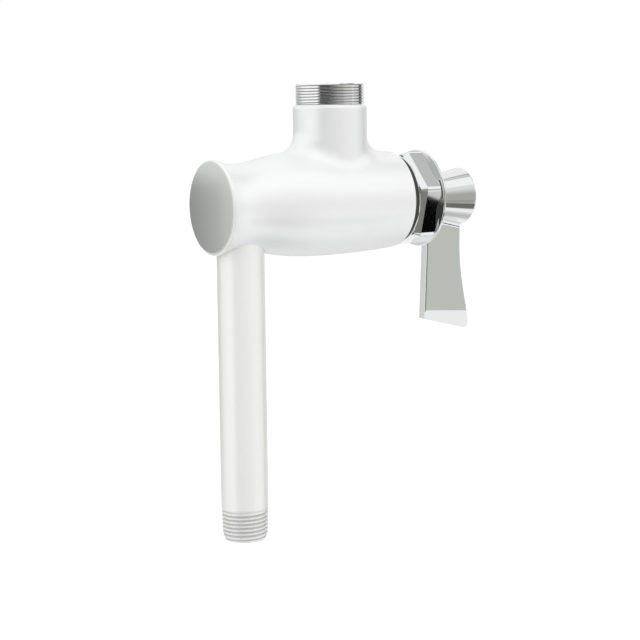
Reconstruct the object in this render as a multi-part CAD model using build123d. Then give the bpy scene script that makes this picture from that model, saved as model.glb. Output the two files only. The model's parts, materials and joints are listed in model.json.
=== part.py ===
from build123d import *
import math
import os

# Single control faucet valve: a cast barrel on an upright inlet pipe, with a threaded spout outlet
# on top and a lever at its open end. Millimetres. The origin is the centre of the pipe's lower end,
# +Z runs up the pipe and +X along the barrel, from its closed end to the lever.

# Fits
thread_clearance = 0.05
running_clearance = 0.05
seal_clearance = 0.02

# Inlet pipe
pipe_outer_r = 10.67
pipe_bore_r = 7.9
pipe_thread_r = 10.45
pipe_thread_length = 14.5
pipe_runout = 0.5
pipe_end_r = 8.9
pipe_end_chamfer = 3.5
pipe_engagement = 10.5

# Cast body, outside
barrel_height = 151.0
closed_end_x = -14.6
closed_end_r = 21.2
closed_end_round = 1.5
waist_x = -2.0
waist_r = 19.05
swell_x = 14.0
swell_r = 21.9
belly_x = 48.0
belly_r = 24.1
mouth_x = 80.6
mouth_r = 22.2
mouth_round = 0.6
neck_x = 48.0
neck_r = 16.85
neck_top = 44.9
neck_blend = 10.0
neck_shoulder_round = 2.4
outlet_thread_r = 15.5
outlet_thread_length = 9.1
outlet_thread_chamfer = 0.8

# Cast body, waterway
entry_below_axis = 14.5
passage_r = 9.0
seat_wall_x = 33.0
seat_wall = 9.0
chamber_r = 17.0
outlet_waterway_r = 10.5
spout_socket_r = 11.9
spout_socket_depth = 14.0
spout_socket_chamfer = 0.6

# Renewable seat
seat_shank_r = 8.0
seat_shank_length = 8.0
seat_flange_r = 11.5
seat_flange = 2.2
seat_crown_r = 6.9
seat_crown_land = 1.0
seat_crown_height = 1.0
seat_key_flats = 9.0
seat_ring_r = 0.7

# Swivelling seat washer and its holder
closed_gap = 0.05
washer_r = 8.3
washer_hole_r = 2.2
washer_thickness = 4.0
washer_proud = 1.5
cup_wall = 1.4
cup_floor = 3.6
swivel_pin_r = 3.0
swivel_pin_length = 9.5
swivel_play = 0.15
swivel_ring_section = 0.5
swivel_ring_inset = 5.0
washer_screw_r = 1.7
washer_screw_length = 9.0
washer_screw_head_r = 3.4
washer_screw_head = 1.8
screw_slot_width = 0.9
screw_slot_depth = 0.8

# Rising stem
stem_lift = 2.5
stop_gap = 0.3
stem_collar_r = 8.6
stem_collar = 4.0
stem_thread_r = 7.0
stem_thread_length = 20.0
stem_shaft_r = 5.5
thrust_washer = 1.0
ring_section_r = 0.8
ring_groove_width = 2.0
ring_spacing = 5.5
ring_inset = 10.1
spline_count = 16
spline_tip_r = 4.8
spline_root_r = 4.35
spline_length = 13.0

# Bonnet
gasket_thickness = 2.8
gasket_rim = 0.2
bonnet_thread_r = 18.2
bonnet_thread_length = 14.6
bonnet_skirt_r = 12.5
bonnet_skirt_length = 6.0
bonnet_shoulder_inset = 0.8
bonnet_flange_r = 20.6
bonnet_flange = 0.6
bonnet_flange_round = 0.2
hex_flats = 40.1
hex_height = 12.0
hex_edge_round = 2.7
hex_turn = 14.2
hex_bevel = 1.1
hex_bevel_length = 3.2
hex_crown_r = 20.2
hex_crown_angle = 30.0
bonnet_rim_r = 22.9
bonnet_rim = 1.2
bonnet_rim_round = 0.5
bonnet_face_cone_r = 9.0
bonnet_face_cone = 0.7

# Lever handle
hub_gap = 1.1
hub_length = 23.8
hub_root_r = 8.6
hub_rim_r = 13.75
hub_rim_round = 0.8
hub_web = 3.2
screw_recess_r = 6.5
blade_thickness = 5.0
blade_blend = 3.6
blade_edge_round = 0.6
blade_root_inset = 3.6
blade_tip_inset = 1.0
blade_waist_inset = 1.7
blade_waist_below = 24.0
blade_tip_reach = 4.3
blade_tip_flare = 0.14
blade_bevel_below = 54.0
blade_bevel_slant = 2.0
blade_end_below = 58.0
blade_end_slant = 7.0
blade_bevel_angle = 9.0
blade_corner_round = 2.6
handle_screw_r = 2.4
handle_screw_length = 14.0
handle_screw_head_r = 4.3
handle_screw_head = 2.8
lock_washer_r = 4.2
lock_washer = 1.1
lock_washer_slit = 0.8

# Places along the barrel axis that follow from the sizes above
flange_x = mouth_x + gasket_thickness
hex_x = flange_x + bonnet_flange
rim_x = hex_x + hex_height
bonnet_end_x = rim_x + bonnet_rim
bonnet_shoulder_x = mouth_x - bonnet_shoulder_inset
bonnet_thread_x = mouth_x - bonnet_thread_length
bonnet_skirt_x = bonnet_thread_x - bonnet_skirt_length
seat_crown_x = seat_wall_x + seat_flange + seat_crown_height
washer_x = seat_crown_x + closed_gap
cup_floor_x = washer_x + washer_thickness
holder_back_x = cup_floor_x + cup_floor
stem_x = holder_back_x + swivel_play
stem_shoulder_x = bonnet_shoulder_x - stem_lift - stop_gap - thrust_washer
hub_x = bonnet_end_x + hub_gap
hub_rim_x = hub_x + hub_length
spline_end_x = hub_x + spline_length
hub_web_x = spline_end_x + running_clearance
screw_seat_x = hub_web_x + hub_web
outer_ring_x = bonnet_end_x - ring_inset
ring_places = (outer_ring_x - ring_spacing, outer_ring_x)
swivel_ring_x = holder_back_x + swivel_ring_inset
pipe_entry_z = barrel_height - entry_below_axis
pipe_top_z = pipe_entry_z + pipe_engagement
stem_bore_r = stem_shaft_r + running_clearance


def on_barrel(shape):
    """Lifts a shape made about the X axis to the barrel's height."""
    return Pos(0, 0, barrel_height) * shape


def turned(*outline):
    """Solid turned about the X axis from (x, radius) points."""
    return revolve(make_face(Polyline(*outline, close=True)), Axis.X)


def rod(start, end, radius):
    """Round bar along the X axis."""
    return turned((start, 0), (end, 0), (end, radius), (start, radius))


def sleeve(start, end, inner, outer):
    """Round tube along the X axis."""
    return turned((start, inner), (end, inner), (end, outer), (start, outer))


def upright(x, start, end, radius):
    """Round bar along Z."""
    return Pos(x, 0, start) * Cylinder(radius, end - start, align=(Align.CENTER, Align.CENTER, Align.MIN))


def seal_ring(x, centre_r, section_r):
    """Round-section ring about the X axis."""
    return Pos(x, 0, 0) * Rot(0, 90, 0) * Torus(centre_r, section_r)


def across(x):
    """Plane square to the barrel axis, with Y across and Z up."""
    return Plane(origin=(x, 0, 0), x_dir=(0, 1, 0), z_dir=(1, 0, 0))


def prism(outline, start, end):
    """Flat outline carried along the X axis."""
    return extrude(across(start) * outline, amount=end - start)


def spline_outline(grow):
    """Toothed outline of the stem's end, grown all round by a clearance."""
    points = []
    for step in range(2 * spline_count):
        radius = grow + (spline_root_r if step % 2 else spline_tip_r)
        angle = math.pi * step / spline_count
        points.append((radius * math.cos(angle), radius * math.sin(angle)))
    return make_face(Polyline(*points, close=True))


def barrel_outside():
    """Cast barrel: a flat closed end, a waist over the pipe, a long belly and an open mouth."""
    rim_x = closed_end_x + closed_end_round
    flank = Spline(
        (rim_x, closed_end_r), (waist_x, waist_r), (swell_x, swell_r), (belly_x, belly_r), (mouth_x, mouth_r),
    )
    face_r = closed_end_r - closed_end_round
    ends = Polyline((mouth_x, mouth_r), (mouth_x, 0), (closed_end_x, 0), (closed_end_x, face_r))
    edge = RadiusArc((closed_end_x, face_r), (rim_x, closed_end_r), closed_end_round)
    return revolve(make_face(flank + ends + edge), Axis.X)


def neck_outside():
    """Upright neck with a rounded shoulder, from the barrel axis to the foot of the outlet thread."""
    neck = upright(neck_x, 0, neck_top, neck_r)
    return fillet(neck.edges().group_by(Axis.Z)[-1], neck_shoulder_round)


def outlet_thread():
    """Plain crest cylinder of the outlet thread."""
    foot = neck_top - neck_shoulder_round
    crest = upright(neck_x, foot, neck_top + outlet_thread_length, outlet_thread_r)
    return chamfer(crest.edges().group_by(Axis.Z)[-1], outlet_thread_chamfer)


def waterway():
    """Hollow of the body: inlet socket, passage to the seat, valve chamber, bonnet thread and outlet."""
    below = pipe_entry_z - barrel_height
    mouth_hole_r = bonnet_thread_r + thread_clearance
    hollow = upright(0, -belly_r, below, pipe_outer_r + thread_clearance)
    hollow += upright(0, below, passage_r, pipe_thread_r + thread_clearance)
    hollow += rod(0, seat_wall_x - seat_wall, passage_r)
    hollow += rod(seat_wall_x - seat_wall, seat_wall_x, seat_shank_r + thread_clearance)
    hollow += rod(seat_wall_x, bonnet_thread_x, chamber_r)
    hollow += rod(bonnet_thread_x, mouth_x, mouth_hole_r)
    top = neck_top + outlet_thread_length
    socket_floor = top - spout_socket_depth
    hollow += upright(neck_x, 0, socket_floor, outlet_waterway_r)
    socket = upright(neck_x, socket_floor, top, spout_socket_r)
    lead_in = Pos(neck_x, 0, top - spout_socket_chamfer) * Cone(
        spout_socket_r, spout_socket_r + spout_socket_chamfer, spout_socket_chamfer,
        align=(Align.CENTER, Align.CENTER, Align.MIN),
    )
    return hollow + socket + lead_in


def valve_body():
    """One casting: barrel and neck with a broad blend between them, cored and bored."""
    barrel = barrel_outside()
    neck = neck_outside()
    casting = barrel + neck
    casting = fillet(new_edges(barrel, neck, combined=casting), neck_blend)
    lip = casting.edges().filter_by(GeomType.CIRCLE).sort_by(Axis.X)[-1]
    casting = fillet(lip, mouth_round)
    return on_barrel(casting + outlet_thread() - waterway())


def inlet_pipe():
    """Pipe nipple with a thread at each end, its lower edge bevelled."""
    outline = Polyline(
        (pipe_bore_r, 0), (pipe_end_r, 0), (pipe_thread_r, pipe_end_chamfer),
        (pipe_thread_r, pipe_thread_length), (pipe_outer_r, pipe_thread_length + pipe_runout),
        (pipe_outer_r, pipe_entry_z), (pipe_thread_r, pipe_entry_z),
        (pipe_thread_r, pipe_top_z), (pipe_bore_r, pipe_top_z), close=True,
    )
    return revolve(Plane.XZ * make_face(outline), Axis.Z)


def seat_ring_centre_r():
    """Radius of the seal ring under the seat's flange."""
    return (seat_shank_r + seat_flange_r) / 2


def valve_seat():
    """Screw-in seat with a raised crown, a groove for its seal ring and a hexagon hole for its key."""
    back = seat_wall_x - seat_shank_length
    front = seat_wall_x + seat_flange
    land_r = seat_crown_r - seat_crown_land
    seat = turned(
        (back, 0), (back, seat_shank_r), (seat_wall_x, seat_shank_r), (seat_wall_x, seat_flange_r),
        (front, seat_flange_r), (front, seat_crown_r + seat_crown_height), (seat_crown_x, seat_crown_r),
        (seat_crown_x, land_r), (front, land_r - seat_crown_height / 2), (front, 0),
    )
    key_hole = RegularPolygon(seat_key_flats / 2, 6, major_radius=False)
    groove_half = seat_ring_r + seal_clearance
    groove = sleeve(
        seat_wall_x, seat_wall_x + 2 * seat_ring_r + seal_clearance,
        seat_ring_centre_r() - groove_half, seat_ring_centre_r() + groove_half,
    )
    return on_barrel(seat - prism(key_hole, back, seat_crown_x) - groove)


def seat_seal_ring():
    """Rubber ring between the seat's flange and the dividing wall."""
    return on_barrel(seal_ring(seat_wall_x + seat_ring_r, seat_ring_centre_r(), seat_ring_r))


def seat_washer():
    """Rubber disc that closes on the seat's crown."""
    return on_barrel(sleeve(washer_x, cup_floor_x, washer_hole_r, washer_r))


def washer_holder():
    """Cup for the seat washer, with a grooved pin that swivels in the stem."""
    cup_r = washer_r + running_clearance
    rim_x = washer_x + washer_proud
    pin_end_x = holder_back_x + swivel_pin_length
    groove_r = swivel_pin_r - swivel_ring_section
    holder = turned(
        (cup_floor_x, 0), (cup_floor_x, cup_r), (rim_x, cup_r), (rim_x, cup_r + cup_wall),
        (cup_floor_x, cup_r + cup_wall), (holder_back_x, stem_collar_r), (holder_back_x, swivel_pin_r),
        (pin_end_x, swivel_pin_r), (pin_end_x, 0),
    )
    tapped = rod(cup_floor_x, washer_x + washer_screw_length, washer_screw_r + thread_clearance)
    ring_half = swivel_ring_section + seal_clearance
    groove = sleeve(swivel_ring_x - ring_half, swivel_ring_x + ring_half, groove_r, swivel_pin_r)
    return on_barrel(holder - tapped - groove)


def swivel_ring():
    """Split snap ring in the pin's groove that keeps the holder on the stem."""
    inner = swivel_pin_r - swivel_ring_section + seal_clearance
    ring = sleeve(
        swivel_ring_x - swivel_ring_section, swivel_ring_x + swivel_ring_section,
        inner, swivel_pin_r + swivel_ring_section,
    )
    slit = Pos(swivel_ring_x, 0, swivel_pin_r) * Box(2 * swivel_pin_r, lock_washer_slit, 2 * swivel_pin_r)
    return on_barrel(ring - slit)


def slotted_screw(seat_x, length, shank_r, head_r, head, towards):
    """Slotted pan-head screw; towards is +1 where the head looks along +X and -1 where it looks back."""
    top = seat_x + towards * head
    brow = top - towards * head / 2
    screw = turned(
        (seat_x - towards * length, 0), (seat_x - towards * length, shank_r), (seat_x, shank_r),
        (seat_x, head_r), (brow, head_r), (top, head_r / 2), (top, 0),
    )
    slot = Pos(top, 0, 0) * Box(2 * screw_slot_depth, screw_slot_width, 2 * head_r)
    return on_barrel(screw - slot)


def washer_screw():
    """Screw that holds the seat washer in its cup."""
    return slotted_screw(
        washer_x, washer_screw_length, washer_screw_r, washer_screw_head_r, washer_screw_head, -1,
    )


def stem():
    """Rising stem: collar, coarse thread, sealed shaft with two ring grooves and a splined end."""
    collar_end_x = stem_x + stem_collar
    thread_x = stem_shoulder_x - stem_thread_length
    shaft = turned(
        (stem_x, 0), (stem_x, stem_collar_r), (collar_end_x, stem_collar_r), (collar_end_x, stem_shaft_r),
        (thread_x, stem_shaft_r), (thread_x, stem_thread_r), (stem_shoulder_x, stem_thread_r),
        (stem_shoulder_x, stem_shaft_r), (hub_x, stem_shaft_r), (hub_x, 0),
    )
    shaft += prism(spline_outline(0), hub_x, spline_end_x)
    ring_groove_r = stem_shaft_r - 2 * ring_section_r - seal_clearance
    for place in ring_places:
        half = ring_groove_width / 2
        shaft -= sleeve(place - half, place + half, ring_groove_r, stem_shaft_r)
    pin_hole_end = holder_back_x + swivel_pin_length + swivel_play
    shaft -= rod(stem_x, pin_hole_end, swivel_pin_r + running_clearance)
    ring_half = swivel_ring_section + running_clearance
    ring_room_r = swivel_pin_r + swivel_ring_section + running_clearance
    shaft -= rod(swivel_ring_x - ring_half, swivel_ring_x + ring_half, ring_room_r)
    tapped_from = screw_seat_x + lock_washer - handle_screw_length
    shaft -= rod(tapped_from - swivel_play, spline_end_x, handle_screw_r + thread_clearance)
    return on_barrel(shaft)


def stem_seal_ring(place):
    """Rubber ring in one of the stem's grooves."""
    return on_barrel(seal_ring(place, stem_shaft_r - ring_section_r, ring_section_r))


def stem_thrust_washer():
    """Slip washer on the stem's shoulder that meets the bonnet when the valve is fully open."""
    outer = stem_thread_r - running_clearance
    return on_barrel(sleeve(stem_shoulder_x, stem_shoulder_x + thrust_washer, stem_bore_r, outer))


def hexagon():
    """Hexagon with softened corners, a long bevel towards the barrel and a crown towards the rim."""
    flat_outline = RegularPolygon(hex_flats / 2, 6, major_radius=False, rotation=180 - hex_turn)
    outline = fillet(flat_outline.vertices(), hex_edge_round)
    nut = prism(outline, hex_x, rim_x)
    inner_face = nut.faces().sort_by(Axis.X)[0]
    nut = chamfer(inner_face.edges(), hex_bevel, hex_bevel_length, reference=inner_face)
    corner_r = hex_flats / math.sqrt(3)
    crown_x = rim_x - (corner_r - hex_crown_r) * math.tan(math.radians(hex_crown_angle))
    crown = turned((hex_x, 0), (hex_x, corner_r), (crown_x, corner_r), (rim_x, hex_crown_r), (rim_x, 0))
    return nut & crown


def bonnet():
    """Bonnet screwed into the barrel's mouth: inner skirt, thread, neck, hexagon and round rim."""
    core = turned(
        (bonnet_skirt_x, 0), (bonnet_skirt_x, bonnet_skirt_r), (bonnet_thread_x, bonnet_skirt_r),
        (bonnet_thread_x, bonnet_thread_r), (hex_x, bonnet_thread_r), (hex_x, 0),
    )
    flange = rod(flange_x, hex_x, bonnet_flange_r)
    flange = fillet(flange.edges().filter_by(GeomType.CIRCLE), bonnet_flange_round)
    rim = rod(rim_x, bonnet_end_x, bonnet_rim_r)
    rim = fillet(rim.edges().filter_by(GeomType.CIRCLE), bonnet_rim_round)
    nose = turned(
        (bonnet_end_x, 0), (bonnet_end_x, bonnet_face_cone_r + bonnet_face_cone),
        (bonnet_end_x + bonnet_face_cone, bonnet_face_cone_r), (bonnet_end_x + bonnet_face_cone, 0),
    )
    stem_hole = rod(bonnet_skirt_x, bonnet_shoulder_x, stem_thread_r + running_clearance)
    shaft_hole = rod(bonnet_shoulder_x, bonnet_end_x + bonnet_face_cone, stem_bore_r)
    return on_barrel(core + flange + hexagon() + rim + nose - stem_hole - shaft_hole)


def bonnet_gasket():
    """Flat ring between the bonnet's flange and the barrel's mouth."""
    outer = bonnet_flange_r - bonnet_flange_round - gasket_rim
    return on_barrel(sleeve(mouth_x, flange_x, bonnet_thread_r + thread_clearance, outer))


def blade():
    """Lever blade: flared towards its tip, its front face leaning back above a slanting end."""
    front = -blade_thickness / 2
    back = blade_thickness / 2
    left_root = hub_x + blade_root_inset
    left_tip = hub_x + blade_tip_inset
    right_waist = hub_rim_x - blade_waist_inset
    right_tip = hub_rim_x + blade_tip_reach
    lean = math.tan(math.radians(blade_bevel_angle))
    sections = []
    for x in (left_tip - blade_thickness, right_tip + blade_thickness):
        drop = (x - left_tip) / (right_tip - left_tip)
        bevel_z = -blade_bevel_below - drop * blade_bevel_slant
        end_z = -blade_end_below - drop * blade_end_slant
        end_front = front + (bevel_z - end_z) * lean
        section = Polyline(
            (front, 0), (front, bevel_z), (end_front, end_z), (back, end_z), (back, 0), close=True,
        )
        sections.append(across(x) * make_face(section))
    slab = loft(sections, ruled=True)
    low_left = -blade_end_below - blade_edge_round
    low_right = low_left - blade_end_slant
    right_edge = Spline(
        (right_waist, -blade_waist_below), (right_tip, low_right), tangents=[(0, -1), (blade_tip_flare, -1)],
    )
    other_edges = Polyline(
        (right_tip, low_right), (left_tip, low_left), (left_root, 0), (right_waist, 0),
        (right_waist, -blade_waist_below),
    )
    outline = make_face(right_edge + other_edges)
    corner = outline.vertices().sort_by_distance((right_tip, low_right))[0]
    outline = fillet(corner, blade_corner_round)
    side = Pos(0, blade_thickness, 0) * (Plane.XZ * outline)
    arm = slab & extrude(side, amount=2 * blade_thickness)
    long_rims = arm.edges().filter_by(
        lambda edge: abs(edge.center().Y) > blade_thickness / 2 - seal_clearance
        and edge.center().Z < -seal_clearance
        and edge.length > 2 * blade_thickness
    )
    return fillet(long_rims, blade_edge_round)


def lever_handle():
    """One casting: a flared hub with a splined socket and the blade below it."""
    hub = turned((hub_x, 0), (hub_x, hub_root_r), (hub_rim_x, hub_rim_r), (hub_rim_x, 0))
    hub = fillet(hub.edges().filter_by(GeomType.CIRCLE).sort_by(Axis.X)[-1], hub_rim_round)
    arm = blade()
    lever = hub + arm
    faces_of_blade = new_edges(hub, arm, combined=lever).sort_by(SortBy.LENGTH)[-2:]
    lever = fillet(faces_of_blade, blade_blend)
    socket = prism(spline_outline(running_clearance), hub_x, hub_web_x)
    screw_hole = rod(hub_web_x, screw_seat_x, handle_screw_r + thread_clearance)
    recess = rod(screw_seat_x, hub_rim_x, screw_recess_r)
    return on_barrel(lever - socket - screw_hole - recess)


def handle_screw():
    """Screw that draws the lever onto the stem's splines."""
    return slotted_screw(
        screw_seat_x + lock_washer, handle_screw_length, handle_screw_r,
        handle_screw_head_r, handle_screw_head, 1,
    )


def handle_lock_washer():
    """Split spring washer under the handle screw's head."""
    ring = sleeve(screw_seat_x, screw_seat_x + lock_washer, handle_screw_r + thread_clearance, lock_washer_r)
    slit = Pos(screw_seat_x + lock_washer / 2, 0, lock_washer_r) * Box(
        2 * lock_washer, lock_washer_slit, 2 * lock_washer_r,
    )
    return on_barrel(ring - slit)


pieces = {
    "valve_body": valve_body(),
    "inlet_pipe": inlet_pipe(),
    "valve_seat": valve_seat(),
    "seat_seal_ring": seat_seal_ring(),
    "seat_washer": seat_washer(),
    "washer_screw": washer_screw(),
    "washer_holder": washer_holder(),
    "swivel_ring": swivel_ring(),
    "stem": stem(),
    "stem_inner_seal_ring": stem_seal_ring(ring_places[0]),
    "stem_outer_seal_ring": stem_seal_ring(ring_places[1]),
    "stem_thrust_washer": stem_thrust_washer(),
    "bonnet": bonnet(),
    "bonnet_gasket": bonnet_gasket(),
    "lever_handle": lever_handle(),
    "handle_lock_washer": handle_lock_washer(),
    "handle_screw": handle_screw(),
}

os.makedirs("parts", exist_ok=True)
for name, solid in pieces.items():
    export_step(solid, f"parts/{name}.step")
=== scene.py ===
import json
import math

import bmesh
import bpy
from mathutils import Matrix, Vector


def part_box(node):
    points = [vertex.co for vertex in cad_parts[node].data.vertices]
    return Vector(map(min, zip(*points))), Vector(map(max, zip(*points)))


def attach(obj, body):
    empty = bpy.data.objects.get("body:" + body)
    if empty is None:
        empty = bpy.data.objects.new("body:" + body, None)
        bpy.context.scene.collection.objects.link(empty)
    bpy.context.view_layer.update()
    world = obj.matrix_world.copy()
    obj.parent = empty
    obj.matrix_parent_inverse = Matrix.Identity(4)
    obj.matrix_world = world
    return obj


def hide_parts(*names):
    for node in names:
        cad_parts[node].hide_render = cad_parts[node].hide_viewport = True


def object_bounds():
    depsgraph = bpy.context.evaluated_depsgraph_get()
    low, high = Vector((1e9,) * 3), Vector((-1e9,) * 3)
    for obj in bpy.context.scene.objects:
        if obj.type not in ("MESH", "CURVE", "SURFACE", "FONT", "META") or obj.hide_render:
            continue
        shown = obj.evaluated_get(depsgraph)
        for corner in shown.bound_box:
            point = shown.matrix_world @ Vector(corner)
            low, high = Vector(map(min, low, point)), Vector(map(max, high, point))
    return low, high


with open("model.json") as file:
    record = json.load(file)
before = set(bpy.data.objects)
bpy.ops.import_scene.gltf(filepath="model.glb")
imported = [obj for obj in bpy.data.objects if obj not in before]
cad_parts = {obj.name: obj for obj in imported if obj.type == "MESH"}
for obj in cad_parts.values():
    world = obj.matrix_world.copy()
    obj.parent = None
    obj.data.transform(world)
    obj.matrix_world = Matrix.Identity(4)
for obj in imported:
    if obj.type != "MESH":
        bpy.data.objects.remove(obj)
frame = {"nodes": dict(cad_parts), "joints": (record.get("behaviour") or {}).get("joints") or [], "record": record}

# A chrome single control faucet valve. Metres, in the part's own frame: the origin is the centre of the
# inlet pipe's lower end, +Z runs up the pipe and +X along the barrel to the lever.

cad_low, cad_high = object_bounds()

MM = 0.001
nodes = frame["nodes"]
mounts = {mount["name"]: mount for mount in frame["record"]["mounts"]}
turn_joint = next(joint for joint in frame["joints"] if joint["name"] == "handle_turn")

# Places read from the frame
barrel_z = turn_joint["pos_m"][2]
closed_end_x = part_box("valve_body")[0].x
outlet_x = mounts["outlet_thread"]["pos_m"][0]
outlet_crest_r = mounts["outlet_thread"]["dims"]["r_mm"] * MM
outlet_top_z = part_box("valve_body")[1].z
inlet_crest_r = mounts["inlet_thread"]["dims"]["r_mm"] * MM
inlet_top_z = mounts["inlet_thread"]["pos_m"][2] + mounts["inlet_thread"]["dims"]["length_mm"] * MM / 2
pipe_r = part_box("inlet_pipe")[1].x
pipe_foot_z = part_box("inlet_pipe")[0].z

# Outlet thread, twenty turns to the inch, with broad polished crests. Flanks start and end at shares of the
# way from root to crest.
outlet_pitch = 1.27 * MM
outlet_depth = 0.45 * MM
outlet_flank_start = 0.05
outlet_flank_end = 0.42
outlet_length = 9.35 * MM
outlet_lead_r = 14.75 * MM
outlet_lead_slope = 1.0
outlet_runout = 0.001 * MM
outlet_wall = 1.4 * MM
outlet_around = 193
outlet_rows = 144

# Inlet thread, fourteen turns to the inch, tapered one in sixteen on its diameter
inlet_pitch = 1.814 * MM
inlet_depth = 0.72 * MM
inlet_flank_start = 0.12
inlet_flank_end = 0.88
inlet_taper = 1 / 32
inlet_lead_r = 9.1 * MM
inlet_lead_slope = 0.42
inlet_runout = 2.4 * MM
inlet_wall = 1.5 * MM
inlet_around = 161
inlet_rows = 110

# Plain thread cylinders of the solids: what lies further out than the limit is drawn in to a core that the
# cut thread covers. The inlet's core is its limit too.
outlet_limit_r = 13.5 * MM
outlet_core_r = 14.5 * MM
inlet_core_r = 9.3 * MM
core_margin = 0.25 * MM
weld_distance = 0.001 * MM
solid_weld_distance = 0.0005 * MM

# Marks of the finishes. Noise scales are in features per metre.
cloud_scale = 45.0
rub_scale = 160.0
speckle_scale = 900.0
ring_pitch = 0.22 * MM
ring_gloss_swing = 0.08
groove_dullness = 0.2

# Crown of the barrel's closed end. Its buffed faces, whose darker tone paints the end's shade, lie within the
# rim's depth and have a normal whose X is below the lean.
end_crown_r = 0.2
end_ripple = 0.02 * MM
end_rim = 1.5 * MM
end_rim_lean = -0.86

# Screw recess in the lever's hub: its radius with a hair of the rim, its soft edge, the tone of the painted shade
# in it and its dullness
recess_r = 6.58 * MM
recess_edge = 0.05 * MM
recess_painted_shade = 0.3
recess_dullness = 0.45

# Floor and key light
floor_drop = 0.12
floor_half = 6.0
floor_tone = 0.7
floor_glow = 0.45
key_place = Vector((-0.35, -0.85, 0.5))
key_size = 0.7
key_power = 3.2

# Camera, as the photograph was taken
camera_turn = 32.177
camera_tilt = 7.733
camera_roll = -0.641
camera_lens = 90.52
camera_near = 0.01
camera_distance = 0.74342
camera_target = Vector((0.04146, 0, 0.096876))

# Bands of the room that reflections show, as (bearing, tone) stops in degrees round the part. Bearing 0 is
# along -Y, and bearings grow towards +X.
front_grey = (0.565, 0.575, 0.545)
level_band = (
    (-179, 0.6), (-172, 0.35), (-166, 0.23), (-152, 0.46), (-147, 0.54), (-143.5, 0.72), (-118, 0.95),
    (-76, 0.95), (-64, 0.06), (-36, 0.04), (-27, 0.12), (-16, 0.2), (-4, (0.3, 0.3, 0.27)),
    (10, (0.4, 0.4, 0.37)), (28, front_grey), (45, front_grey), (53, 0.8), (62, 0.6), (80, 0.6),
    (88, 0.08), (102, 0.08), (112, 0.9), (130, 0.62), (179, 0.5),
)
above_band = (
    (-90, 0.98), (-76, 0.9), (-62, 0.14), (-22, 0.12), (-4, 0.8), (22, 0.8), (34, 1.0), (70, 1.0),
    (88, 0.85), (94, 0.2), (100, 0.2), (108, 0.95),
)
card_band = (
    (-85, 0.9), (-68, 0.4), (-16, 0.3), (-4, (0.3, 0.3, 0.27)), (14, (0.36, 0.36, 0.33)), (24, 0.95),
    (84, 0.95), (91, 0.06), (104, 0.06), (112, 0.95),
)
below_band = (
    (-120, 0.95), (-85, 0.9), (-70, 0.22), (-50, 0.05), (-36, 0.05), (-6.5, 0.04), (-3, 0.22),
    (4, (0.22, 0.22, 0.2)), (11, (0.17, 0.17, 0.15)), (22, (0.17, 0.17, 0.15)), (26, 0.95), (100, 0.95),
)

# Columns of tones that reflections show, as (height, tone) stops in degrees above the level
overhead_grey = (0.555, 0.56, 0.555)
high_column = (
    (42, 1.0), (46, overhead_grey), (58.5, overhead_grey), (61, 0.78), (65.5, 0.76), (67.5, 0.5),
    (70, 0.52), (73, 0.94), (90, 0.98),
)
ground_column = ((-82, 0.3), (-70, 0.55), (-60, 0.95))

# Column of the even light on everything that isn't a reflection
light_column = ((-90, 0.85), (0, 0.92), (90, 0.86))

# Heights in degrees over which each band takes over from the one under it
below_heights = (-51, -47)
strip_heights = (-28.25, -28.17)
card_heights = (-27, -26)
level_heights = (-15, -13)
above_heights = (7, 36)
high_heights = (41, 43)

# Bearings over which the band above gets crisper, and the height in degrees where its step then ends
crisp_bearings = (22, 36)
above_crisp_top = 18

# Greyer strip along the card's lower edge
strip_share = 0.45
strip_tone = 0.3

# Black gap under the strip, between two bearings
gap_left = (29, 31)
gap_right = (47, 45)
gap_heights = (-37, -35)
gap_tone = 0.003

# White sheet behind the part on the side of its closed end
sheet_bearings = (-110, -125)
sheet_heights = (-1.5, 3)

# Bearings over which the high column takes over from white at each side
right_side = (56, 66)
left_side = (-50, -62)

# Share of a ray's way that runs to the front, over which the high tones come in
front_share = (-0.2, 0.05)


def paint(tone):
    """Colour with alpha from a grey level or from red, green and blue."""
    red_green_blue = (tone,) * 3 if isinstance(tone, (int, float)) else tone
    return (*red_green_blue, 1.0)


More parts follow.
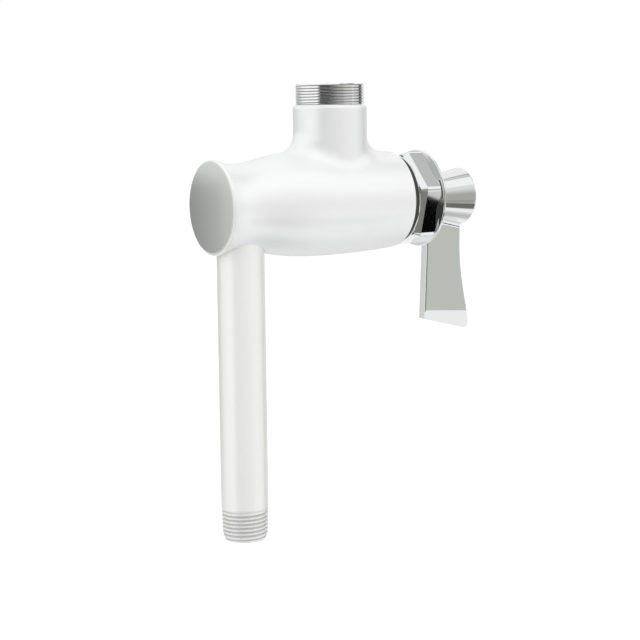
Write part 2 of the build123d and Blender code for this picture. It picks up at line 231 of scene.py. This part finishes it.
class Graph:
    """A node tree with short ways to add nodes and feed their sockets."""

    def __init__(self, tree):
        self.tree = tree

    def add(self, kind, **settings):
        node = self.tree.nodes.new(kind)
        for name, value in settings.items():
            setattr(node, name, value)
        return node

    def feed(self, socket, value):
        if isinstance(value, bpy.types.NodeSocket):
            self.tree.links.new(value, socket)
        else:
            socket.default_value = value

    def split(self, vector):
        """X, Y and Z of a vector."""
        node = self.add("ShaderNodeSeparateXYZ")
        self.feed(node.inputs[0], vector)
        return node.outputs

    def math(self, operation, *values):
        node = self.add("ShaderNodeMath", operation=operation)
        for socket, value in zip(node.inputs, values):
            self.feed(socket, value)
        return node.outputs[0]

    def ease(self, value, start, end):
        """Smooth step of a value, from 0 at start to 1 at end."""
        node = self.add("ShaderNodeMapRange", interpolation_type="SMOOTHSTEP")
        for socket, number in zip(node.inputs, (value, start, end, 0.0, 1.0)):
            self.feed(socket, number)
        return node.outputs[0]

    def noise(self, vector, scale, detail):
        node = self.add("ShaderNodeTexNoise")
        self.feed(node.inputs["Vector"], vector)
        self.feed(node.inputs["Scale"], scale)
        self.feed(node.inputs["Detail"], detail)
        return node.outputs["Fac"]

    def swing(self, noise, width):
        """Noise about its middle, as wide as given."""
        return self.math("MULTIPLY", self.math("SUBTRACT", noise, 0.5), width)

    def scaled(self, colour, share):
        """Colour times a number."""
        node = self.add("ShaderNodeVectorMath", operation="SCALE")
        self.feed(node.inputs[0], colour)
        self.feed(node.inputs["Scale"], share)
        return node.outputs["Vector"]

    def blend(self, share, first, second):
        """Mix of two colours."""
        node = self.add("ShaderNodeMix", data_type="RGBA")
        self.feed(node.inputs["Factor"], share)
        self.feed(node.inputs["A"], first)
        self.feed(node.inputs["B"], second)
        return node.outputs["Result"]

    def ramp(self, value, stops):
        """Colour ramp from (place, colour) stops."""
        node = self.add("ShaderNodeValToRGB")
        elements = node.color_ramp.elements
        while len(elements) < len(stops):
            elements.new(1.0)
        for element, (place, colour) in zip(elements, stops):
            element.position = place
            element.color = colour
        self.feed(node.inputs["Fac"], value)
        return node.outputs["Color"]

    def object_place(self):
        """Place of a surface point in the part's frame."""
        return self.add("ShaderNodeTexCoord").outputs["Object"]

    def off_barrel_axis(self, place):
        """Squared distance of a place from the barrel axis."""
        parts = self.split(place)
        rise = self.math("SUBTRACT", parts["Z"], barrel_z)
        return self.math("ADD", self.math("POWER", rise, 2.0), self.math("POWER", parts["Y"], 2.0))

    def step(self, kind, geometry, inputs, **settings):
        """Geometry after one more node, which takes its other inputs by name."""
        node = self.add(kind, **settings)
        self.feed(node.inputs[0], geometry)
        for label, value in inputs.items():
            self.feed(node.inputs[label], value)
        return node.outputs[0]


# Outputs of the groups that finish a surface
finish_outputs = (
    ("Color", "NodeSocketColor"),
    ("Roughness", "NodeSocketFloat"),
    ("Height", "NodeSocketFloat"),
)


def make_group(name, inputs, outputs):
    """Shader node group with named inputs, which may have a value, and named outputs."""
    tree = bpy.data.node_groups.new(name, "ShaderNodeTree")
    for label, kind, value in inputs:
        socket = tree.interface.new_socket(label, in_out="INPUT", socket_type=kind)
        if value is not None:
            socket.default_value = value
    for label, kind in outputs:
        tree.interface.new_socket(label, in_out="OUTPUT", socket_type=kind)
    graph = Graph(tree)
    return graph, graph.add("NodeGroupInput").outputs, graph.add("NodeGroupOutput").inputs


def plate_haze_group():
    """Polishing haze of chrome plate: cloudy tone, uneven gloss and a faint waviness."""
    graph, given, made = make_group(
        "plate_haze",
        [
            ("Vector", "NodeSocketVector", None),
            ("Tone", "NodeSocketColor", paint(0.8)),
            ("Cloud", "NodeSocketFloat", 0.03),
            ("Gloss", "NodeSocketFloat", 0.1),
            ("Gloss Spread", "NodeSocketFloat", 0.03),
            ("Wave Scale", "NodeSocketFloat", 60.0),
        ],
        finish_outputs,
    )
    cloud = graph.noise(given["Vector"], cloud_scale, detail=3.0)
    lift = graph.math("ADD", 1.0, graph.swing(cloud, given["Cloud"]))
    graph.feed(made["Color"], graph.scaled(given["Tone"], lift))
    rub = graph.noise(given["Vector"], rub_scale, detail=2.0)
    graph.feed(made["Roughness"], graph.math("ADD", given["Gloss"], graph.swing(rub, given["Gloss Spread"])))
    graph.feed(made["Height"], graph.noise(given["Vector"], given["Wave Scale"], detail=1.0))
    return graph.tree


def turning_group():
    """Fine rings that a lathe leaves about the barrel axis, as a tone, a gloss and a height."""
    graph, given, made = make_group(
        "turning_marks",
        [
            ("Vector", "NodeSocketVector", None),
            ("Tone", "NodeSocketColor", paint(0.6)),
            ("Contrast", "NodeSocketFloat", 0.12),
            ("Gloss", "NodeSocketFloat", 0.25),
        ],
        finish_outputs,
    )
    radius = graph.math("SQRT", graph.off_barrel_axis(given["Vector"]))
    path = graph.math("ADD", radius, graph.split(given["Vector"])["X"])
    ring = graph.math("SINE", graph.math("MULTIPLY", path, 2 * math.pi / ring_pitch))
    speckle = graph.noise(given["Vector"], speckle_scale, detail=2.0)
    mark = graph.math("MULTIPLY", ring, speckle)
    lift = graph.math("ADD", 1.0, graph.math("MULTIPLY", mark, given["Contrast"]))
    graph.feed(made["Color"], graph.scaled(given["Tone"], lift))
    rub = graph.math("MULTIPLY", mark, ring_gloss_swing)
    graph.feed(made["Roughness"], graph.math("ADD", given["Gloss"], rub))
    graph.feed(made["Height"], mark)
    return graph.tree


PLATE_HAZE = plate_haze_group()
TURNING = turning_group()


def bare_material(name):
    """Material with an empty graph."""
    material = bpy.data.materials.new(name)
    material.use_nodes = True
    material.node_tree.nodes.clear()
    return material, Graph(material.node_tree)


def show(graph, surface):
    """Ends a material's graph with its surface."""
    out = graph.add("ShaderNodeOutputMaterial")
    graph.feed(out.inputs["Surface"], surface)


def new_material(name, metallic):
    """Material with its graph and its surface shader."""
    material, graph = bare_material(name)
    shader = graph.add("ShaderNodeBsdfPrincipled")
    shader.inputs["Metallic"].default_value = metallic
    show(graph, shader.outputs["BSDF"])
    return material, graph, shader


def finish_with(graph, shader, group, settings, bump_strength, bump_distance):
    """Places an effect group on a shader: colour, roughness and a bump from its height."""
    effect = graph.add("ShaderNodeGroup", node_tree=group)
    graph.feed(effect.inputs["Vector"], graph.object_place())
    for label, value in settings.items():
        graph.feed(effect.inputs[label], value)
    bump = graph.add("ShaderNodeBump")
    graph.feed(bump.inputs["Strength"], bump_strength)
    graph.feed(bump.inputs["Distance"], bump_distance)
    graph.feed(bump.inputs["Height"], effect.outputs["Height"])
    graph.feed(shader.inputs["Base Color"], effect.outputs["Color"])
    graph.feed(shader.inputs["Roughness"], effect.outputs["Roughness"])
    graph.feed(shader.inputs["Normal"], bump.outputs["Normal"])
    return effect.outputs, bump.inputs


def haze(tone, cloud, gloss, gloss_spread, wave_scale):
    """Values of the polishing haze."""
    return {
        "Tone": paint(tone),
        "Cloud": cloud,
        "Gloss": gloss,
        "Gloss Spread": gloss_spread,
        "Wave Scale": wave_scale,
    }


def satin_plate():
    """Soft pearl chrome of the casting."""
    material, graph, shader = new_material("satin_plate", metallic=0.3)
    settings = haze(tone=(0.895, 0.9, 0.9), cloud=0.05, gloss=0.34, gloss_spread=0.08, wave_scale=55.0)
    finish_with(graph, shader, PLATE_HAZE, settings, bump_strength=0.15, bump_distance=0.4 * MM)
    return material


def pipe_plate():
    """Drawn pipe under chrome plate, a little glossier than the casting."""
    material, graph, shader = new_material("pipe_plate", metallic=0.2)
    settings = haze(tone=(0.9, 0.9, 0.89), cloud=0.03, gloss=0.3, gloss_spread=0.03, wave_scale=40.0)
    finish_with(graph, shader, PLATE_HAZE, settings, bump_strength=0.08, bump_distance=0.3 * MM)
    return material


def buffed_end():
    """Faced and buffed closed end of the barrel, slightly crowned, with a tone darker than the casting's that
    paints the end's shade.
    """
    material, graph, shader = new_material("buffed_end", metallic=0.75)
    # Painted shade: a darker tone than the casting's satin plate.
    settings = haze(tone=(0.635, 0.65, 0.628), cloud=0.03, gloss=0.16, gloss_spread=0.03, wave_scale=40.0)
    effect, bump = finish_with(graph, shader, PLATE_HAZE, settings, bump_strength=1.0, bump_distance=1.0)
    crown = graph.math("DIVIDE", graph.off_barrel_axis(graph.object_place()), -2 * end_crown_r)
    ripple = graph.math("MULTIPLY", effect["Height"], end_ripple)
    graph.feed(bump["Height"], graph.math("ADD", crown, ripple))
    return material


def cut_thread(name, metallic, tone, gloss, groove_painted_shade):
    """Cut thread under plate, duller in its grooves and darkened there with painted shade."""
    material, graph, shader = new_material(name, metallic)
    settings = haze(tone, cloud=0.04, gloss=gloss, gloss_spread=0.05, wave_scale=300.0)
    effect = finish_with(graph, shader, PLATE_HAZE, settings, bump_strength=0.05, bump_distance=0.05 * MM)[0]
    groove = graph.add("ShaderNodeAttribute", attribute_name="groove").outputs["Fac"]
    # Painted shade: the groove mask darkens the thread's colour in its grooves.
    light = graph.math("SUBTRACT", 1.0, graph.math("MULTIPLY", groove, groove_painted_shade))
    graph.feed(shader.inputs["Base Color"], graph.scaled(effect["Color"], light))
    dull = graph.math("ADD", effect["Roughness"], graph.math("MULTIPLY", groove, groove_dullness))
    graph.feed(shader.inputs["Roughness"], dull)
    return material


def mirror_plate(name):
    """Buffed chrome, with the graph, the shader and the effect for what a piece adds to it."""
    material, graph, shader = new_material(name, metallic=1.0)
    settings = haze(tone=(0.86, 0.865, 0.87), cloud=0.02, gloss=0.022, gloss_spread=0.02, wave_scale=30.0)
    effect = finish_with(graph, shader, PLATE_HAZE, settings, bump_strength=0.04, bump_distance=0.2 * MM)[0]
    return material, graph, shader, effect


def lever_plate():
    """Buffed chrome of the lever, dull in its screw recess, where no polishing wheel reaches, and dark there with
    painted shade.
    """
    material, graph, shader, effect = mirror_plate("lever_plate")
    radius = graph.math("SQRT", graph.off_barrel_axis(graph.object_place()))
    inside = graph.ease(radius, recess_r, recess_r - recess_edge)
    # Painted shade: the recess's colour is darkened to a grey tone.
    graph.feed(shader.inputs["Base Color"], graph.blend(inside, effect["Color"], paint(recess_painted_shade)))
    dull = graph.math("ADD", effect["Roughness"], graph.math("MULTIPLY", inside, recess_dullness))
    graph.feed(shader.inputs["Roughness"], dull)
    return material


def turned_metal(name, tone, gloss):
    """Bare turned metal."""
    material, graph, shader = new_material(name, metallic=1.0)
    settings = {"Tone": paint(tone), "Gloss": gloss}
    finish_with(graph, shader, TURNING, settings, bump_strength=0.06, bump_distance=0.02 * MM)
    return material


def moulded(name, tone, gloss):
    """Moulded rubber, plastic or pressed fibre."""
    material, graph, shader = new_material(name, metallic=0.0)
    settings = haze(tone, cloud=0.3, gloss=gloss, gloss_spread=0.15, wave_scale=700.0)
    finish_with(graph, shader, PLATE_HAZE, settings, bump_strength=0.3, bump_distance=0.05 * MM)
    return material


SATIN = satin_plate()
PIPE = pipe_plate()
END_FACE = buffed_end()
OUTLET_CUT = cut_thread("outlet_cut", metallic=1.0, tone=(0.96, 0.965, 0.97), gloss=0.06, groove_painted_shade=0.62)
INLET_CUT = cut_thread("inlet_cut", metallic=0.35, tone=(0.88, 0.88, 0.875), gloss=0.25, groove_painted_shade=0.32)
MIRROR = mirror_plate("mirror_plate")[0]
LEVER = lever_plate()
STEEL = turned_metal("turned_steel", tone=(0.6, 0.6, 0.61), gloss=0.25)
BRASS = turned_metal("turned_brass", tone=(0.78, 0.6, 0.32), gloss=0.28)
RUBBER = moulded("black_rubber", tone=(0.03, 0.03, 0.032), gloss=0.55)
SLIP_PLASTIC = moulded("slip_plastic", tone=(0.84, 0.83, 0.79), gloss=0.45)
FIBRE = moulded("gasket_fibre", tone=(0.05, 0.05, 0.05), gloss=0.8)

finishes = {
    "valve_body": SATIN,
    "inlet_pipe": PIPE,
    "bonnet": MIRROR,
    "bonnet_gasket": FIBRE,
    "lever_handle": LEVER,
    "valve_seat": STEEL,
    "seat_seal_ring": RUBBER,
    "seat_washer": RUBBER,
    "washer_screw": STEEL,
    "washer_holder": BRASS,
    "swivel_ring": STEEL,
    "stem": BRASS,
    "stem_inner_seal_ring": RUBBER,
    "stem_outer_seal_ring": RUBBER,
    "stem_thrust_washer": SLIP_PLASTIC,
    "handle_lock_washer": STEEL,
    "handle_screw": STEEL,
}


def dress(piece, material):
    """One material on a whole piece."""
    piece.data.materials.clear()
    piece.data.materials.append(material)


for node_name, finish in finishes.items():
    dress(nodes[node_name], finish)


def sleeve_sheet(graph, given):
    """Flat sheet of a sleeve, with each point's share of a turn, its height and a mask of the inner wall."""
    sheet = graph.add("GeometryNodeMeshGrid")
    graph.feed(sheet.inputs["Size X"], 1.0)
    graph.feed(sheet.inputs["Size Y"], 1.0)
    graph.feed(sheet.inputs["Vertices X"], given["Around"])
    graph.feed(sheet.inputs["Vertices Y"], given["Rows"])
    flat = graph.split(graph.add("GeometryNodeInputPosition").outputs[0])
    turn = graph.math("ADD", flat["X"], 0.5)
    last_row = graph.math("SUBTRACT", given["Rows"], 1.0)
    row = graph.math("MULTIPLY", graph.math("ADD", flat["Y"], 0.5), last_row)
    # The first and the last two rows lie on the inner wall, and the others run up the thread.
    climb = graph.math("DIVIDE", graph.math("SUBTRACT", row, 1.0), graph.math("SUBTRACT", last_row, 3.0))
    climb = graph.math("MINIMUM", graph.math("MAXIMUM", climb, 0.0), 1.0)
    before_last = graph.math("LESS_THAN", row, graph.math("SUBTRACT", last_row, 0.5))
    height = graph.math("MULTIPLY", graph.math("MULTIPLY", climb, before_last), given["Length"])
    first_row = graph.math("LESS_THAN", row, 0.5)
    end_rows = graph.math("GREATER_THAN", row, graph.math("SUBTRACT", last_row, 1.5))
    return sheet.outputs["Mesh"], turn, height, graph.math("MAXIMUM", first_row, end_rows)


def thread_profile(graph, given, turn, height):
    """Outer radius of a thread with its lead-in bevel and its run-out, and a mask of its grooves."""
    phase = graph.math("SUBTRACT", graph.math("DIVIDE", height, given["Pitch"]), turn)
    saw = graph.math("MULTIPLY", graph.math("PINGPONG", phase, 0.5), 2.0)
    ridge = graph.ease(saw, given["Flank Start"], given["Flank End"])
    left = graph.math("SUBTRACT", given["Length"], height)
    fade = graph.ease(left, 0.0, given["Runout"])
    groove = graph.math("MULTIPLY", graph.math("SUBTRACT", 1.0, ridge), fade)
    crest = graph.math("SUBTRACT", given["Crest Radius"], graph.math("MULTIPLY", given["Taper"], left))
    cut = graph.math("SUBTRACT", crest, graph.math("MULTIPLY", groove, given["Depth"]))
    lead_way = graph.math("ABSOLUTE", graph.math("SUBTRACT", height, given["Lead Height"]))
    lead = graph.math("ADD", given["Lead Radius"], graph.math("MULTIPLY", given["Lead Slope"], lead_way))
    return graph.math("MINIMUM", cut, lead), groove


def rolled_place(graph, given, turn, height, radius):
    """Place of a sleeve's point about its axis."""
    angle = graph.math("MULTIPLY", turn, 2 * math.pi)
    east = graph.math("MULTIPLY", radius, graph.math("COSINE", angle))
    place = graph.add("ShaderNodeCombineXYZ")
    graph.feed(place.inputs["X"], graph.math("ADD", east, given["Axis X"]))
    graph.feed(place.inputs["Y"], graph.math("MULTIPLY", radius, graph.math("SINE", angle)))
    graph.feed(place.inputs["Z"], graph.math("ADD", height, given["Foot Z"]))
    return place.outputs[0]


def thread_tree():
    """Closed sleeve whose outside is a screw thread."""
    tree = bpy.data.node_groups.new("screw_thread", "GeometryNodeTree")
    sizes = (
        "Axis X", "Foot Z", "Pitch", "Length", "Crest Radius", "Taper", "Depth", "Flank Start", "Flank End",
        "Lead Radius", "Lead Slope", "Lead Height", "Runout", "Inner Radius",
    )
    for label in sizes:
        tree.interface.new_socket(label, in_out="INPUT", socket_type="NodeSocketFloat")
    for label in ("Around", "Rows"):
        tree.interface.new_socket(label, in_out="INPUT", socket_type="NodeSocketInt")
    tree.interface.new_socket("Material", in_out="INPUT", socket_type="NodeSocketMaterial")
    tree.interface.new_socket("Geometry", in_out="OUTPUT", socket_type="NodeSocketGeometry")
    graph = Graph(tree)
    given = graph.add("NodeGroupInput").outputs
    sheet, turn, height, on_inside = sleeve_sheet(graph, given)
    outside, groove = thread_profile(graph, given, turn, height)
    inner_part = graph.math("MULTIPLY", given["Inner Radius"], on_inside)
    outer_part = graph.math("MULTIPLY", outside, graph.math("SUBTRACT", 1.0, on_inside))
    radius = graph.math("ADD", inner_part, outer_part)
    place = rolled_place(graph, given, turn, height, radius)
    marked = {"Name": "groove", "Value": groove}
    sleeve = graph.step("GeometryNodeStoreNamedAttribute", sheet, marked, data_type="FLOAT", domain="POINT")
    sleeve = graph.step("GeometryNodeSetPosition", sleeve, {"Position": place})
    sleeve = graph.step("GeometryNodeMergeByDistance", sleeve, {"Distance": weld_distance})
    sleeve = graph.step("GeometryNodeSetShadeSmooth", sleeve, {})
    sleeve = graph.step("GeometryNodeRealizeInstances", sleeve, {})
    sleeve = graph.step("GeometryNodeSetMaterial", sleeve, {"Material": given["Material"]})
    graph.feed(graph.add("NodeGroupOutput").inputs[0], sleeve)
    return tree


THREAD = thread_tree()


def link(name, data):
    """New object of the scene."""
    piece = bpy.data.objects.new(name, data)
    bpy.context.scene.collection.objects.link(piece)
    return piece


def face_outwards(mesh):
    """Turns every face outwards."""
    shape = bmesh.new()
    shape.from_mesh(mesh)
    bmesh.ops.recalc_face_normals(shape, faces=shape.faces)
    shape.to_mesh(mesh)
    shape.free()


def grow(name, tree, sizes):
    """Runs a geometry tree with named inputs and keeps the result as a plain mesh."""
    piece = link(name, bpy.data.meshes.new(name))
    modifier = piece.modifiers.new("grow", "NODES")
    modifier.node_group = tree
    for socket in tree.interface.items_tree:
        if socket.item_type == "SOCKET" and socket.in_out == "INPUT":
            modifier[socket.identifier] = sizes[socket.name]
    graph = bpy.context.evaluated_depsgraph_get()
    mesh = bpy.data.meshes.new_from_object(piece.evaluated_get(graph), depsgraph=graph)
    piece.modifiers.remove(modifier)
    piece.data = mesh
    face_outwards(mesh)
    return piece


def outlet_thread():
    """Thread of the spout outlet, with its lead-in at the top."""
    return grow("outlet_thread", THREAD, {
        "Axis X": outlet_x,
        "Foot Z": outlet_top_z - outlet_length,
        "Pitch": outlet_pitch,
        "Length": outlet_length,
        "Crest Radius": outlet_crest_r,
        "Taper": 0.0,
        "Depth": outlet_depth,
        "Flank Start": outlet_flank_start,
        "Flank End": outlet_flank_end,
        "Lead Radius": outlet_lead_r,
        "Lead Slope": outlet_lead_slope,
        "Lead Height": outlet_length,
        "Runout": outlet_runout,
        "Inner Radius": outlet_crest_r - outlet_wall,
        "Around": outlet_around,
        "Rows": outlet_rows,
        "Material": OUTLET_CUT,
    })


def inlet_thread():
    """Tapered thread of the inlet pipe, with its lead-in at the bottom and its run-out at the top."""
    return grow("inlet_thread", THREAD, {
        "Axis X": 0.0,
        "Foot Z": 0.0,
        "Pitch": inlet_pitch,
        "Length": inlet_top_z + inlet_runout / 4,
        "Crest Radius": pipe_r,
        "Taper": inlet_taper,
        "Depth": inlet_depth,
        "Flank Start": inlet_flank_start,
        "Flank End": inlet_flank_end,
        "Lead Radius": inlet_lead_r,
        "Lead Slope": inlet_lead_slope,
        "Lead Height": 0.0,
        "Runout": inlet_runout,
        "Inner Radius": inlet_crest_r - inlet_wall,
        "Around": inlet_around,
        "Rows": inlet_rows,
        "Material": INLET_CUT,
    })


def slimmed_copy(name, node, axis_x, low_z, high_z, limit_r, core_r):
    """Copy of a solid whose plain thread cylinder, between two heights, is drawn in to a core."""
    mesh = nodes[node].data.copy()
    mesh.name = name
    normals = [Vector(corner.vector) for corner in mesh.corner_normals]
    shape = bmesh.new()
    shape.from_mesh(mesh)
    bmesh.ops.remove_doubles(shape, verts=shape.verts, dist=solid_weld_distance)
    for vertex in shape.verts:
        out = Vector((vertex.co.x - axis_x, vertex.co.y, 0))
        if low_z < vertex.co.z < high_z and out.length > limit_r:
            out *= core_r / out.length
            vertex.co.x = axis_x + out.x
            vertex.co.y = out.y
    shape.to_mesh(mesh)
    shape.free()
    if len(mesh.loops) == len(normals):
        mesh.normals_split_custom_set(normals)
    return link(name, mesh)


def body_shell():
    """Casting with the outlet's thread cylinder drawn in, and its closed end buffed and darkened with painted
    shade.
    """
    low_z = outlet_top_z - outlet_length - core_margin
    high_z = outlet_top_z + core_margin
    shell = slimmed_copy(
        "valve_body_shell", "valve_body", outlet_x, low_z, high_z, outlet_limit_r, outlet_core_r
    )
    dress(shell, SATIN)
    end_slot = len(shell.data.materials)
    shell.data.materials.append(END_FACE)
    for face in shell.data.polygons:
        if face.center.x < closed_end_x + end_rim and face.normal.x < end_rim_lean:
            face.material_index = end_slot
    return shell


def pipe_shell():
    """Pipe with its lower thread cylinder drawn in."""
    high_z = inlet_top_z + core_margin
    shell = slimmed_copy(
        "inlet_pipe_shell", "inlet_pipe", 0.0, core_margin, high_z, inlet_core_r, inlet_core_r
    )
    dress(shell, PIPE)
    return shell


def place_on(piece, body, slot, *stands_for):
    """Rides a piece on its body and hides the solids that it stands for; its finish slot is not used."""
    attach(piece, body)
    if stands_for:
        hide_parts(*stands_for)


place_on(body_shell(), "valve", "body_chrome", "valve_body")
place_on(pipe_shell(), "valve", "pipe_chrome", "inlet_pipe")
place_on(outlet_thread(), "valve", "polished_chrome")
place_on(inlet_thread(), "valve", "pipe_chrome")


def bearing_place(degrees):
    """Place of a bearing on a ramp that runs once round the room."""
    return degrees / 360 + 0.5


def height_place(degrees):
    """Place of a height on a ramp that runs from the ground to the zenith."""
    return math.sin(math.radians(degrees)) / 2 + 0.5


class Room(Graph):
    """Graph of the surround, which knows the bearing and the height that a ray looks to."""

    def __init__(self, tree):
        super().__init__(tree)
        east, north, up = self.split(self.add("ShaderNodeTexCoord").outputs["Generated"])
        self.front = self.math("MULTIPLY", north, -1.0)
        self.bearing = self.math("ARCTAN2", east, self.front)
        self.round = self.math("ADD", self.math("DIVIDE", self.bearing, 2 * math.pi), 0.5)
        self.height = self.math("ADD", self.math("MULTIPLY", up, 0.5), 0.5)

    def band(self, stops):
        """Tones round the room from (bearing, tone) stops."""
        return self.ramp(self.round, [(bearing_place(degrees), paint(tone)) for degrees, tone in stops])

    def column(self, stops):
        """Tones up the room from (height, tone) stops."""
        return self.ramp(self.height, [(height_place(degrees), paint(tone)) for degrees, tone in stops])

    def past_bearing(self, start, end):
        """Mask that comes in from one bearing to another."""
        return self.ease(self.bearing, math.radians(start), math.radians(end))

    def past_height(self, start, end):
        """Mask that comes in from one height to another."""
        return self.ease(self.height, height_place(start), height_place(end))

    def both(self, first, second):
        """Mask of what two masks share."""
        return self.math("MULTIPLY", first, second)


def lower_room(room):
    """Tones of the room up to its level: ground, band below, black gap, card and level band."""
    tones = room.blend(room.past_height(*below_heights), room.column(ground_column), room.band(below_band))
    gap = room.both(room.past_bearing(*gap_left), room.past_bearing(*gap_right))
    tones = room.blend(room.both(gap, room.past_height(*gap_heights)), tones, paint(gap_tone))
    card = room.band(card_band)
    strip = room.blend(strip_share, card, paint(strip_tone))
    tones = room.blend(room.past_height(*strip_heights), tones, strip)
    tones = room.blend(room.past_height(*card_heights), tones, card)
    return room.blend(room.past_height(*level_heights), tones, room.band(level_band))


def upper_room(room, tones):
    """Tones of the whole room, with the white sheet, the band above and the high tones at its front."""
    sheet = room.both(room.past_bearing(*sheet_bearings), room.past_height(*sheet_heights))
    tones = room.blend(sheet, tones, paint(1.0))
    start, top = (height_place(degrees) for degrees in above_heights)
    drop = room.math("MULTIPLY", room.past_bearing(*crisp_bearings), height_place(above_crisp_top) - top)
    above = room.ease(room.height, start, room.math("ADD", top, drop))
    tones = room.blend(above, tones, room.band(above_band))
    sides = room.math("MAXIMUM", room.past_bearing(*right_side), room.past_bearing(*left_side))
    high = room.blend(sides, paint(1.0), room.column(high_column))
    ahead = room.ease(room.front, *front_share)
    return room.blend(room.both(ahead, room.past_height(*high_heights)), tones, high)


def studio_world():
    """White surround for the camera, even light for the part, and a room with bands for its reflections."""
    world = bpy.data.worlds.new("studio")
    bpy.context.scene.world = world
    world.use_nodes = True
    world.node_tree.nodes.clear()
    room = Room(world.node_tree)
    reflected = upper_room(room, lower_room(room))
    rays = room.add("ShaderNodeLightPath").outputs
    lit = room.blend(rays["Is Glossy Ray"], room.column(light_column), reflected)
    seen = room.math("MAXIMUM", rays["Is Camera Ray"], rays["Is Transmission Ray"])
    glow = room.add("ShaderNodeBackground")
    room.feed(glow.inputs["Color"], room.blend(seen, lit, paint(1.0)))
    out = room.add("ShaderNodeOutputWorld")
    room.feed(out.inputs["Surface"], glow.outputs[0])


def floor_material():
    """Pale matt floor, brighter to the camera, that lets reflections see the room through it."""
    material, graph = bare_material("pale_floor")
    rays = graph.add("ShaderNodeLightPath").outputs
    matt = graph.add("ShaderNodeBsdfDiffuse")
    graph.feed(matt.inputs["Color"], paint(floor_tone))
    glow = graph.add("ShaderNodeEmission")
    graph.feed(glow.inputs["Color"], paint(floor_glow))
    graph.feed(glow.inputs["Strength"], rays["Is Camera Ray"])
    pale = graph.add("ShaderNodeAddShader")
    graph.feed(pale.inputs[0], matt.outputs[0])
    graph.feed(pale.inputs[1], glow.outputs[0])
    pick = graph.add("ShaderNodeMixShader")
    graph.feed(pick.inputs[0], rays["Is Glossy Ray"])
    graph.feed(pick.inputs[1], pale.outputs[0])
    graph.feed(pick.inputs[2], graph.add("ShaderNodeBsdfTransparent").outputs[0])
    show(graph, pick.outputs[0])
    return material


def pale_floor():
    """Floor below the part, which keeps its shadow."""
    low = pipe_foot_z - floor_drop
    corners = [(x * floor_half, y * floor_half, low) for x, y in ((-1, -1), (1, -1), (1, 1), (-1, 1))]
    mesh = bpy.data.meshes.new("floor")
    mesh.from_pydata(corners, [], [(0, 1, 2, 3)])
    floor = link("floor", mesh)
    dress(floor, floor_material())


def key_box():
    """Square soft box above the camera that reflections don't show."""
    lamp = bpy.data.lights.new("key_box", "AREA")
    lamp.shape = "SQUARE"
    lamp.size = key_size
    lamp.energy = key_power
    holder = link("key_box", lamp)
    holder.location = key_place
    aim = (cad_low + cad_high) / 2 - key_place
    holder.rotation_euler = aim.to_track_quat("-Z", "Y").to_euler()
    holder.visible_glossy = False


def photograph_camera():
    """Camera at the photograph's place."""
    turn, tilt, roll = (math.radians(value) for value in (camera_turn, camera_tilt, camera_roll))
    ahead = Vector((math.sin(turn) * math.cos(tilt), math.cos(turn) * math.cos(tilt), -math.sin(tilt)))
    level_right = Vector((math.cos(turn), -math.sin(turn), 0))
    level_up = level_right.cross(ahead)
    right = level_right * math.cos(roll) + level_up * math.sin(roll)
    up = level_up * math.cos(roll) - level_right * math.sin(roll)
    camera = bpy.data.cameras.new("camera")
    camera.lens = camera_lens
    camera.clip_start = camera_near
    holder = link("camera", camera)
    pose = Matrix((right, up, -ahead)).transposed().to_4x4()
    pose.translation = camera_target - ahead * camera_distance
    holder.matrix_world = pose
    bpy.context.scene.camera = holder


studio_world()
pale_floor()
key_box()
photograph_camera()
bpy.context.scene.view_settings.view_transform = "Standard"
